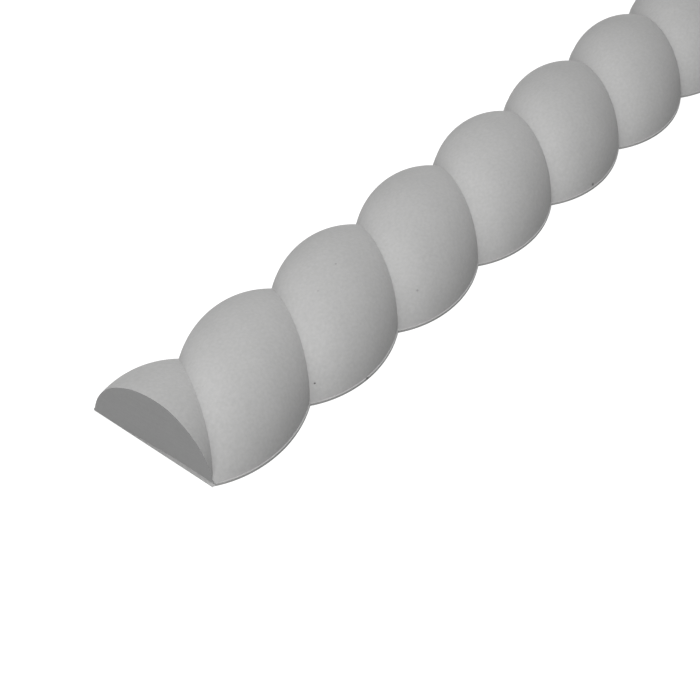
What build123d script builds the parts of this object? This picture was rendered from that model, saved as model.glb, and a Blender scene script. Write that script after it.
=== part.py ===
from build123d import *
from math import asin, ceil, pi
import os

# Rope moulding, cast in one piece. Its face is the upper part of a round rope of two strands, laid up
# left-handed. A flat back cuts the rope off above its own axis, and a thin lip runs along both back
# edges. X runs along the moulding, Y across it and Z up from the back, in millimetres. The origin is
# the middle of the back.

# Driving dimensions
length = 1219.2
width = 38.0
thickness = 14.0
strand_pitch = 28.8
groove_depth = 3.8
lip_height = 0.6
lip_projection = 0.25
first_groove = 0.3

# The crowns of the strands lie on a circle about the rope's axis. It spans the moulding from edge to
# edge, less the lip's projection, and rises from the top of the lip to the full thickness.
rise = thickness - lip_height
crown_radius = (width**2 / 4 + rise**2 - lip_projection**2) / (2 * (rise + lip_projection))
groove_radius = crown_radius - groove_depth
axis_z = thickness - crown_radius
back_above_axis = lip_height - axis_z
core_radius = back_above_axis / 2

# The rope stands on end while it is made. Its strands are ribs side by side on an upright section,
# which is screwed half a turn round the rope's axis and moves one strand pitch along it. Two spare
# strands before the front end, and one past the far end, keep the rope whole as far as the saw cuts.
# The first groove leaves the near back edge just behind the front end.
lead = 2 * strand_pitch
spare_strands = 2
strands = ceil(length / strand_pitch) + spare_strands + 1
groove_foot_advance = lead * asin(back_above_axis / groove_radius) / (2 * pi)
first_strand = -length / 2 + first_groove - groove_foot_advance - spare_strands * strand_pitch
last_strand = first_strand + strands * strand_pitch

# Where the rope lies, and the planes that cut it
rope_axis = Plane(origin=(0, 0, axis_z), x_dir=(0, -1, 0), z_dir=(1, 0, 0))
lip_top = Plane.XY.offset(lip_height)
front_end = Plane.YZ.offset(-length / 2)
far_end = Plane.YZ.offset(length / 2)


def rope_above_lip(swelling):
    """The rope laid down, cut off flat and sawn to length, with its strands thicker by swelling."""
    crown = crown_radius + swelling
    groove = groove_radius + swelling
    with BuildPart() as half_rope:
        with BuildLine():
            Helix(pitch=lead, height=lead / 2, radius=groove, lefthand=True)
        with BuildSketch(Plane.XZ):
            with BuildLine():
                for strand in range(strands):
                    start = first_strand + strand * strand_pitch
                    middle = start + strand_pitch / 2
                    end = start + strand_pitch
                    ThreePointArc((groove, start), (crown, middle), (groove, end))
                Polyline(
                    (groove, last_strand),
                    (core_radius, last_strand),
                    (core_radius, first_strand),
                    (groove, first_strand),
                )
            make_face()
        sweep(is_frenet=True)
    with BuildPart(rope_axis) as rope:
        add(half_rope.part)
        split(bisect_by=lip_top, keep=Keep.TOP)
        split(bisect_by=front_end, keep=Keep.TOP)
        split(bisect_by=far_end, keep=Keep.BOTTOM)
    return rope.part


# The lip follows the waves of a slightly thicker rope
lip_outline = rope_above_lip(lip_projection).faces().sort_by(Axis.Z)[0]

with BuildPart() as rope_moulding:
    add(rope_above_lip(0))
    extrude(lip_outline, amount=lip_height, dir=(0, 0, -1))

rope_moulding.part.label = "rope_moulding"
os.makedirs("parts", exist_ok=True)
export_step(rope_moulding.part, "parts/rope_moulding.step")
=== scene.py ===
# The looks of the rope moulding. One fine mesh stands for the CAD solid and follows the same rope.
# X runs along the moulding from the sawn end that the photograph shows, Y across it and Z up from
# its back, in metres. The camera stands over that front end and looks along the moulding.

from math import asin, ceil, cos, pi, radians, sin, sqrt

import bmesh
import bpy
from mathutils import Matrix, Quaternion, Vector


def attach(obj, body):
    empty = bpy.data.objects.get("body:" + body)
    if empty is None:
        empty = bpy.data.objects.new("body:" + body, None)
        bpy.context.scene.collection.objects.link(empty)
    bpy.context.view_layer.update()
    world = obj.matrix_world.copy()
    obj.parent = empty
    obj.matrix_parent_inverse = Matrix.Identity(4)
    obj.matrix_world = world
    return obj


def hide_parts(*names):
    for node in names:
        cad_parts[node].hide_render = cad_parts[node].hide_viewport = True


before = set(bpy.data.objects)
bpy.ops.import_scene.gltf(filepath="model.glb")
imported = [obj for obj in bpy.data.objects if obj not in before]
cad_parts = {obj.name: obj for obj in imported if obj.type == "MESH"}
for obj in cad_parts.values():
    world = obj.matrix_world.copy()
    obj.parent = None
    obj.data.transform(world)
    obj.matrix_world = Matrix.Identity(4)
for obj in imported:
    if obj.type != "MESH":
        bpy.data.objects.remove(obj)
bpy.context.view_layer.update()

# Driving dimensions, as in the part's source
length = 1.2192
width = 0.038
thickness = 0.014
strand_pitch = 0.0288
groove_depth = 0.0038
lip_height = 0.0006
lip_projection = 0.00025
first_groove = 0.0003

# The circles of the strands' crowns and of the grooves, and the arc of a strand between two grooves
rise = thickness - lip_height
crown_radius = (width**2 / 4 + rise**2 - lip_projection**2) / (2 * (rise + lip_projection))
groove_radius = crown_radius - groove_depth
rib_radius = ((strand_pitch / 2) ** 2 + groove_depth**2) / (2 * groove_depth)
axis_z = thickness - crown_radius
back_above_axis = lip_height - axis_z

# Where the first groove would cross the level of the rope's axis on the near side
groove_foot_angle = asin(back_above_axis / groove_radius)
groove_start = -length / 2 + first_groove - groove_foot_angle / pi * strand_pitch

# Places across a strand run from 0 in one groove to 1 in the next, with the crown halfway
crown_across = 0.5

# The photograph shows deeper grooves on the far side. At its far foot, a strand falls away from its
# crown by this share more than at its near foot.
far_deepening = 0.12

# How finely the mesh follows the rope, and the strands that it has, which reach past both saw cuts
steps_across_strand = 36
steps_over_rope = 46
first_strand = -2
last_strand = ceil(length / strand_pitch)

# The lip's top edge is rounded, and an edge that turns more than this angle is shown sharp
lip_rounding = 0.00012
sharp_angle = radians(20)

# The saw left a burr along the foot of the front cut. It widens from its start, beyond the middle, to
# its full reach, and keeps that as far as the near edge.
burr_height = 0.00015
burr_reach = 0.0007
burr_start = 0.009
burr_full = -0.003

# How far the shape that cuts the burr free stands out past the moulding
cutter_spare = 0.002

# Faces of the mesh by how they came about. A sawn or back face is one that lies square to its axis,
# with at least this much of its normal along it.
CAST = 0
SAWN = 1
BACK = 2
square_on = 0.99

# Colours, as linear light
resin_colour = (0.402, 0.401, 0.399)
sawn_colour = (0.308, 0.308, 0.308)
floor_colour = (0.3, 0.3, 0.3)
sky_colour = (1.0, 1.0, 1.0)

# Noise lies mostly between these two values
noise_low = 0.25
noise_high = 0.75

# Each surface below has shades, which its colour is multiplied by, and bumps, which are the height of
# its relief where a pattern is 1

# The cast face
cast_specular = 0.12
cast_roughness = (0.6, 0.7)
cast_roughness_size = 0.009
blotch_size = 0.022
blotch_detail = 3.0
blotch_shades = (0.965, 1.035)
grain_size = 0.0007
grain_detail = 4.0
grain_shades = (0.94, 1.06)
grain_bump = 0.0001
wave_size = 0.012
wave_bump = 0.00004

# Its colour is painted paler in its grooves, as painted light that takes away the shade falling there, and
# painted darker, as painted shade, from this far across a strand
painted_light_groove_to_crown = (1.07, 0.97)
painted_shade_crown_from = 0.35

# Pinholes that the photograph shows in it, as places, radii and depths
pits_seen = (
    ((-0.5777, -0.01373, 0.00351), 0.00025, 1.0),
    ((-0.5637, -0.00274, 0.01297), 0.00022, 0.35),
    ((-0.55559, -0.00078, 0.01398), 0.0003, 0.45),
    ((-0.54102, -0.00257, 0.01078), 0.00024, 0.45),
    ((-0.54392, -0.01381, 0.00612), 0.00035, 0.4),
    ((-0.5982, -0.00239, 0.01095), 0.00024, 0.3),
    ((-0.48228, -0.01854, 0.00092), 0.00045, 0.9),
    ((-0.56718, -0.01896, 0.0004), 0.0004, 1.0),
)

# A pinhole is at its full depth as far as this share of its radius
pit_floor = 1 / 3
# Pinholes are darkened towards their middles, as painted shade in the pits
pit_painted_shades = (1.0, 0.35)
pit_bump = 0.00015

# Strewn pinholes take over past the photograph's edge
unseen_from = -0.4
unseen_fade = 0.002
strewn_spacing = 0.0075
strewn_radius = 0.00022

# The sawn ends, with marks of the blade across them
sawn_specular = 0.2
sawn_roughness = (0.7, 0.8)
sawn_roughness_size = 0.004
blade_mark_length = 0.012
blade_mark_width = 0.0003
blade_mark_shades = (0.975, 1.025)
blade_mark_bump = 0.0002
sawn_grain_size = 0.0006
sawn_grain_shades = (0.97, 1.03)

# The back, with swirls from levelling it off and open bubbles
back_specular = 0.25
back_roughness = (0.6, 0.8)
back_roughness_size = 0.006
swirl_size = 0.015
swirl_detail = 6.0
swirl_shades = (0.93, 1.05)
swirl_bump = 0.0006
bubble_spacing = 0.003
bubble_radius = 0.00035
# Bubbles are darkened towards their middles, as painted shade in the holes
bubble_painted_shades = (1.0, 0.6)
bubble_bump = 0.0003

# The floor, which glows less near the moulding than far from it, so that a shadow shows there
floor_size = 12.0
floor_segments = 4
floor_gap = 0.00005
floor_glow_near = 0.84
floor_glow_far = 0.95
floor_near = 0.03
floor_far = 0.15

# The sky's strength as it lights the moulding, and as it is seen
sky_light = 0.37
backdrop_white = 1.0

# The lamps, each in a direction from what it lights. The sizes of softboxes are along and across.
front_end = Vector((-length / 2, 0, 0))
far_end = Vector((length / 2, 0, 0))
overhead = Vector((0, 0, 1))
key_direction = Vector((-0.91, -0.12, 0.42)).normalized()
key_strength = 1.22
key_angle = radians(35)
softbox_height = 0.35
softbox_size = (0.15, 0.15)
softbox_power = 0.735
strip_middle = Vector((0.25, 0, 0))
strip_height = 0.35
strip_size = (0.7, 0.3)
strip_power = 0.62
fill_direction = Vector((0.75, -0.15, 0.64)).normalized()
fill_distance = 0.7
fill_size = (0.5, 0.5)
fill_power = 1.2

# The photograph's camera, in millimetres for its lens and sensor
camera_lens = 84.83
camera_sensor = 36.0
camera_nearest = 0.01
camera_place = Vector((-0.75986, -0.17094, 0.23682))
camera_target = Vector((-0.5625, -0.0105, 0.0))
camera_roll = radians(0.64)


# The shape of the moulding


def strand_radius(across, over):
    """How far a strand's face lies from the rope's axis.

    Across runs from 0 to 1 between its grooves, and over from its near foot to its far one.
    """
    from_crown = (across - crown_across) * strand_pitch
    fall = rib_radius - sqrt(rib_radius**2 - from_crown**2)
    return crown_radius - fall * (1 + far_deepening * over)


def rope_point(turns, radius, angle):
    """A point at that radius and angle, from the near side over the top, on the line so many strands on."""
    along = groove_start + (turns + angle / pi) * strand_pitch
    return Vector((along, -radius * cos(angle), axis_z + radius * sin(angle)))


def lip_points(turns, radius, near_side):
    """The lip's edge beside a strand's foot, from the back up to its rounded top."""
    lip_radius = radius + lip_projection
    foot = asin(back_above_axis / lip_radius)
    top = rope_point(turns, lip_radius, foot if near_side else pi - foot)
    inward = Vector((0, lip_rounding if near_side else -lip_rounding, 0))
    down = Vector((0, 0, -lip_rounding))
    on_back = Vector((top.x, top.y, 0))
    # The middle of the quarter circle between top + down and top + inward
    middle = top + (inward + down) * (1 - sqrt(0.5))
    return [on_back, top + down, middle, top + inward]


def moulding_loop(strand, across):
    """One closed line round the moulding, screwed as the strands are."""
    turns = strand + across
    near_radius = strand_radius(across, 0)
    far_radius = strand_radius(across, 1)
    near_foot = asin(back_above_axis / near_radius)
    far_foot = pi - asin(back_above_axis / far_radius)
    over_rope = []
    for step in range(steps_over_rope + 1):
        over = step / steps_over_rope
        angle = near_foot + over * (far_foot - near_foot)
        over_rope.append(rope_point(turns, strand_radius(across, over), angle))
    near_lip = lip_points(turns, near_radius, True)
    far_lip = lip_points(turns, far_radius, False)
    return near_lip + over_rope + far_lip[::-1]


def add_object(name, data):
    """A new object in the scene."""
    thing = bpy.data.objects.new(name, data)
    bpy.context.scene.collection.objects.link(thing)
    return thing


def add_mesh(name, bm):
    """A new object with the mesh that was built in bm."""
    mesh = bpy.data.meshes.new(name)
    bm.to_mesh(mesh)
    bm.free()
    return add_object(name, mesh)


def join_loops(bm, loops):
    """Joins each closed line to the next with a belt of faces."""
    belts = [[bm.verts.new(point) for point in loop] for loop in loops]
    for one, other in zip(belts, belts[1:]):
        for i in range(len(one)):
            bm.faces.new((one[i - 1], one[i], other[i], other[i - 1]))


def saw_off(bm, x, direction):
    """Saws the moulding off square at x and closes the cut."""
    everything = bm.verts[:] + bm.edges[:] + bm.faces[:]
    cut = bmesh.ops.bisect_plane(
        bm, geom=everything, plane_co=(x, 0, 0), plane_no=(direction, 0, 0), clear_outer=True
    )
    rim = [item for item in cut["geom_cut"] if isinstance(item, bmesh.types.BMEdge)]
    bmesh.ops.edgeloop_fill(bm, edges=rim)


def prism(name, corners, bottom, top):
    """An upright prism over corners in plan, to cut with."""
    bm = bmesh.new()
    base = bm.faces.new([bm.verts.new((x, y, bottom)) for x, y in corners])
    raised = bmesh.ops.extrude_face_region(bm, geom=[base])["geom"]
    raised_corners = [item for item in raised if isinstance(item, bmesh.types.BMVert)]
    bmesh.ops.translate(bm, vec=(0, 0, top - bottom), verts=raised_corners)
    bmesh.ops.recalc_face_normals(bm, faces=bm.faces[:])
    return add_mesh(name, bm)


def cut_away(piece, cutter):
    """Takes the cutter's shape out of the piece, and removes the cutter."""
    difference = piece.modifiers.new("cut", "BOOLEAN")
    difference.operation = "DIFFERENCE"
    difference.solver = "EXACT"
    difference.object = cutter
    shown = piece.evaluated_get(bpy.context.evaluated_depsgraph_get())
    piece.data = bpy.data.meshes.new_from_object(shown)
    piece.modifiers.clear()
    bpy.data.objects.remove(cutter)


def leave_burr(moulding):
    """Sets the front cut back a little above its foot on the near side, so that the burr stands out."""
    front = -length / 2
    near_edge = -width / 2 - cutter_spare
    corners = (
        (front + burr_reach, near_edge),
        (front + burr_reach, burr_full),
        (front, burr_start),
        (front - cutter_spare, burr_start),
        (front - cutter_spare, near_edge),
    )
    cut_away(moulding, prism("saw_wander", corners, burr_height, thickness + cutter_spare))


def finish_faces(moulding):
    """Tells cast, sawn and back faces apart, and keeps only real edges sharp."""
    bm = bmesh.new()
    bm.from_mesh(moulding.data)
    for face in bm.faces:
        face.smooth = True
        face.material_index = CAST
        if abs(face.normal.x) > square_on:
            face.material_index = SAWN
        if face.normal.z < -square_on:
            face.material_index = BACK
    for edge in bm.edges:
        edge.smooth = edge.calc_face_angle(pi) < sharp_angle
    bm.to_mesh(moulding.data)
    bm.free()


def make_moulding():
    """The whole moulding as one closed mesh."""
    loops = []
    for strand in range(first_strand, last_strand + 1):
        for step in range(steps_across_strand):
            loops.append(moulding_loop(strand, step / steps_across_strand))
    bm = bmesh.new()
    join_loops(bm, loops)
    saw_off(bm, -length / 2, -1)
    saw_off(bm, length / 2, 1)
    bmesh.ops.recalc_face_normals(bm, faces=bm.faces[:])
    moulding = add_mesh("rope_moulding_cast", bm)
    leave_burr(moulding)
    finish_faces(moulding)
    return moulding


# Nodes and patterns for the materials


def add_node(tree, kind, inputs, **settings):
    """A new node with these settings. An input given a socket is linked to it, any other is set."""
    node = tree.nodes.new(kind)
    for name, value in settings.items():
        setattr(node, name, value)
    for name, value in inputs.items():
        if isinstance(value, bpy.types.NodeSocket):
            tree.links.new(value, node.inputs[name])
        else:
            node.inputs[name].default_value = value
    return node


def calculated(tree, operation, first, *others):
    """The first value joined with each of the others in turn by that operation."""
    for other in others:
        inputs = {0: first, 1: other}
        first = add_node(tree, "ShaderNodeMath", inputs, operation=operation).outputs["Value"]
    return first


def vector_calculated(tree, operation, *vectors):
    """The outputs of that operation on vectors, as Vector and as Value."""
    inputs = dict(enumerate(vectors))
    return add_node(tree, "ShaderNodeVectorMath", inputs, operation=operation).outputs


def mapped(tree, value, low, high, from_low=noise_low, from_high=noise_high):
    """The value stretched so that it runs from low to high."""
    inputs = {"Value": value, "From Min": from_low, "From Max": from_high, "To Min": low, "To Max": high}
    return add_node(tree, "ShaderNodeMapRange", inputs).outputs["Result"]


def object_place(tree):
    """The place on the object, in metres, which patterns are laid out by."""
    return tree.nodes.new("ShaderNodeTexCoord").outputs["Object"]


def coordinates(tree, place):
    """That place's X, Y and Z."""
    return add_node(tree, "ShaderNodeSeparateXYZ", {0: place}).outputs


def clouds(tree, place, size, detail=2.0):
    """Soft noise with clouds of that size in metres, from 0 to 1."""
    inputs = {"Vector": place, "Scale": 1 / size, "Detail": detail}
    return add_node(tree, "ShaderNodeTexNoise", inputs).outputs["Fac"]


def from_groove(tree, place):
    """How far a place on a strand lies from its nearer groove, from 0 there to 0.5 on the crown."""
    axes = coordinates(tree, place)
    above_axis = calculated(tree, "SUBTRACT", axes["Z"], axis_z)
    to_near_side = calculated(tree, "MULTIPLY", axes["Y"], -1.0)
    half_turns = calculated(tree, "DIVIDE", calculated(tree, "ARCTAN2", above_axis, to_near_side), pi)
    along = calculated(tree, "SUBTRACT", axes["X"], groove_start)
    strands_along = calculated(tree, "DIVIDE", along, strand_pitch)
    across = calculated(tree, "SUBTRACT", strands_along, half_turns)
    return calculated(tree, "PINGPONG", across, crown_across)


def pinholes(tree, place, spacing, radius):
    """Round pits, 1 at their middle and 0 outside them, strewn through the casting at that spacing."""
    inputs = {"Vector": place, "Scale": 1 / spacing}
    distance = add_node(tree, "ShaderNodeTexVoronoi", inputs).outputs["Distance"]
    return mapped(tree, distance, 1.0, 0.0, 0.0, radius / spacing)


def one_pinhole(tree, place, middle, radius, depth):
    """A single pit at a known place, with its depth at its middle and 0 outside it."""
    distance = vector_calculated(tree, "DISTANCE", place, middle)["Value"]
    return mapped(tree, distance, depth, 0.0, radius * pit_floor, radius)


def face_pinholes(tree, place):
    """The pits that the photograph shows, and strewn ones on the strands beyond its edge."""
    along = coordinates(tree, place)["X"]
    beyond = mapped(tree, along, 0.0, 1.0, unseen_from, unseen_from + unseen_fade)
    strewn = calculated(tree, "MULTIPLY", pinholes(tree, place, strewn_spacing, strewn_radius), beyond)
    seen = [one_pinhole(tree, place, *pit) for pit in pits_seen]
    return calculated(tree, "MAXIMUM", strewn, *seen)


def shaded(tree, colour, shade):
    """The colour made lighter or darker by a shade near 1."""
    inputs = {0: colour, "Scale": shade}
    return add_node(tree, "ShaderNodeVectorMath", inputs, operation="SCALE").outputs["Vector"]


def bumped(tree, pattern, height, under=None, sunk=False):
    """The relief of a pattern, raised or sunk, on top of the relief under it."""
    inputs = {"Height": pattern, "Distance": height, "Strength": 1.0}
    if under is not None:
        inputs["Normal"] = under
    return add_node(tree, "ShaderNodeBump", inputs, invert=sunk).outputs["Normal"]


# The materials of the moulding


def new_material(name, specular):
    """A material, its node tree and its shader."""
    material = bpy.data.materials.new(name)
    material.use_nodes = True
    tree = material.node_tree
    shader = tree.nodes["Principled BSDF"]
    shader.inputs["Specular IOR Level"].default_value = specular
    return material, tree, shader


def connect(tree, shader, colour, roughness, relief):
    """Gives the shader its colour, roughness and relief."""
    tree.links.new(colour, shader.inputs["Base Color"])
    tree.links.new(roughness, shader.inputs["Roughness"])
    tree.links.new(relief, shader.inputs["Normal"])


def cast_resin():
    """Grey resin as it leaves the mould: matte, faintly mottled, with a fine grain, painted light in its
    grooves, painted shade on its crowns and a few pinholes darkened by painted shade.
    """
    material, tree, shader = new_material("cast_resin_face", cast_specular)
    place = object_place(tree)
    blotches = mapped(tree, clouds(tree, place, blotch_size, blotch_detail), *blotch_shades)
    grain = mapped(tree, clouds(tree, place, grain_size, grain_detail), *grain_shades)
    pits = face_pinholes(tree, place)
    # Painted shade in the pinholes
    pit_painted_shade = mapped(tree, pits, *pit_painted_shades, 0.0, 1.0)
    # Painted light in the grooves and painted shade on the crowns, multiplied into the colour
    painted_groove_light = mapped(tree, from_groove(tree, place), *painted_light_groove_to_crown, 0.0, painted_shade_crown_from)
    shade = calculated(tree, "MULTIPLY", blotches, grain, pit_painted_shade, painted_groove_light)
    roughness = mapped(tree, clouds(tree, place, cast_roughness_size), *cast_roughness)
    waves = bumped(tree, clouds(tree, place, wave_size), wave_bump)
    grains = bumped(tree, grain, grain_bump, under=waves)
    holes = bumped(tree, pits, pit_bump, under=grains, sunk=True)
    connect(tree, shader, shaded(tree, resin_colour, shade), roughness, holes)
    return material


def sawn_resin():
    """The sawn ends: darker, duller, with faint marks of the blade."""
    material, tree, shader = new_material("cast_resin_sawn", sawn_specular)
    place = object_place(tree)
    stretch = {"Vector": place, "Scale": (1.0, 1 / blade_mark_length, 1 / blade_mark_width)}
    place_in_marks = add_node(tree, "ShaderNodeMapping", stretch).outputs["Vector"]
    # A cloud of size 1 there is as long and as wide as a mark
    marks = mapped(tree, clouds(tree, place_in_marks, 1.0), *blade_mark_shades)
    grain = mapped(tree, clouds(tree, place, sawn_grain_size), *sawn_grain_shades)
    shade = calculated(tree, "MULTIPLY", marks, grain)
    roughness = mapped(tree, clouds(tree, place, sawn_roughness_size), *sawn_roughness)
    scores = bumped(tree, marks, blade_mark_bump)
    connect(tree, shader, shaded(tree, sawn_colour, shade), roughness, scores)
    return material


def levelled_resin():
    """The flat back, which was the open face of the mould: levelled off, with more bubbles, which are
    darkened by painted shade.
    """
    material, tree, shader = new_material("cast_resin_back", back_specular)
    place = object_place(tree)
    swirls = mapped(tree, clouds(tree, place, swirl_size, swirl_detail), *swirl_shades)
    bubbles = pinholes(tree, place, bubble_spacing, bubble_radius)
    # The swirls' tone, with painted shade in the bubbles
    shade = calculated(tree, "MULTIPLY", swirls, mapped(tree, bubbles, *bubble_painted_shades, 0.0, 1.0))
    roughness = mapped(tree, clouds(tree, place, back_roughness_size), *back_roughness)
    level = bumped(tree, swirls, swirl_bump)
    holes = bumped(tree, bubbles, bubble_bump, under=level, sunk=True)
    connect(tree, shader, shaded(tree, resin_colour, shade), roughness, holes)
    return material


# The floor, the sky, the lamps and the camera


def seen_directly(tree):
    """1 where the camera, a reflection or a view through glass sees the surface, else 0."""
    path = tree.nodes.new("ShaderNodeLightPath").outputs
    rays = [path[name] for name in ("Is Camera Ray", "Is Glossy Ray", "Is Transmission Ray")]
    return calculated(tree, "MAXIMUM", *rays)


def distance_from_moulding(tree):
    """How far a place on the floor lies from the moulding's middle line."""
    unsigned = vector_calculated(tree, "ABSOLUTE", object_place(tree))["Vector"]
    past_end = vector_calculated(tree, "SUBTRACT", unsigned, (length / 2, 0, 0))["Vector"]
    off_line = vector_calculated(tree, "MAXIMUM", past_end, (0, 0, 0))["Vector"]
    return vector_calculated(tree, "LENGTH", off_line)["Value"]


def floor_paper():
    """Grey paper that glows where it is seen, so that it looks white and keeps a soft shadow."""
    material = bpy.data.materials.new("floor_paper")
    material.use_nodes = True
    tree = material.node_tree
    tree.nodes.remove(tree.nodes["Principled BSDF"])
    paper = add_node(tree, "ShaderNodeBsdfDiffuse", {"Color": (*floor_colour, 1)})
    distance = distance_from_moulding(tree)
    brightness = mapped(tree, distance, floor_glow_near, floor_glow_far, floor_near, floor_far)
    strength = calculated(tree, "MULTIPLY", seen_directly(tree), brightness)
    glow = add_node(tree, "ShaderNodeEmission", {"Strength": strength})
    both = add_node(tree, "ShaderNodeAddShader", {0: paper.outputs[0], 1: glow.outputs[0]})
    tree.links.new(both.outputs[0], tree.nodes["Material Output"].inputs["Surface"])
    return material


def make_floor():
    """A plain floor just under the moulding's back."""
    bm = bmesh.new()
    bmesh.ops.create_grid(bm, x_segments=floor_segments, y_segments=floor_segments, size=floor_size / 2)
    floor = add_mesh("floor", bm)
    floor.location.z = -floor_gap
    floor.data.materials.append(floor_paper())


def make_sky():
    """Even light from all round, seen as a white backdrop."""
    world = bpy.data.worlds.new("sky")
    world.use_nodes = True
    bpy.context.scene.world = world
    tree = world.node_tree
    background = tree.nodes["Background"]
    strength = mapped(tree, seen_directly(tree), sky_light, backdrop_white, 0.0, 1.0)
    tree.links.new(strength, background.inputs["Strength"])
    background.inputs["Color"].default_value = (*sky_colour, 1)


def add_lamp(name, kind, power, direction):
    """A lamp of that kind and power, whose light comes from that direction."""
    light = bpy.data.lights.new(name, kind)
    light.energy = power
    lamp = add_object(name, light)
    lamp.rotation_euler = direction.to_track_quat("Z", "Y").to_euler()
    return lamp


def add_softbox(name, over, direction, distance, size, power):
    """A softbox in that direction from a place, turned towards it."""
    softbox = add_lamp(name, "AREA", power, direction)
    softbox.data.shape = "RECTANGLE"
    softbox.data.size, softbox.data.size_y = size
    softbox.location = over + direction * distance
    softbox.visible_camera = False


def make_lamps():
    """A broad low key light ahead of the front end, and softboxes over it, the rest and the far end."""
    key = add_lamp("key", "SUN", key_strength, key_direction)
    key.data.angle = key_angle
    add_softbox("softbox", front_end, overhead, softbox_height, softbox_size, softbox_power)
    add_softbox("strip", strip_middle, overhead, strip_height, strip_size, strip_power)
    add_softbox("fill", far_end, fill_direction, fill_distance, fill_size, fill_power)


def make_camera():
    """The photograph's camera."""
    data = bpy.data.cameras.new("camera")
    data.sensor_width = camera_sensor
    data.lens = camera_lens
    data.clip_start = camera_nearest
    camera = add_object("camera", data)
    camera.location = camera_place
    look = (camera_target - camera_place).to_track_quat("-Z", "Y")
    camera.rotation_mode = "QUATERNION"
    camera.rotation_quaternion = look @ Quaternion((0, 0, 1), camera_roll)
    bpy.context.scene.camera = camera


# The moulding, with its materials in the order of CAST, SAWN and BACK
moulding = make_moulding()
for material in (cast_resin(), sawn_resin(), levelled_resin()):
    moulding.data.materials.append(material)
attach(moulding, "root")
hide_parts("rope_moulding")

make_floor()
make_sky()
make_lamps()
make_camera()
bpy.context.scene.view_settings.view_transform = "Standard"
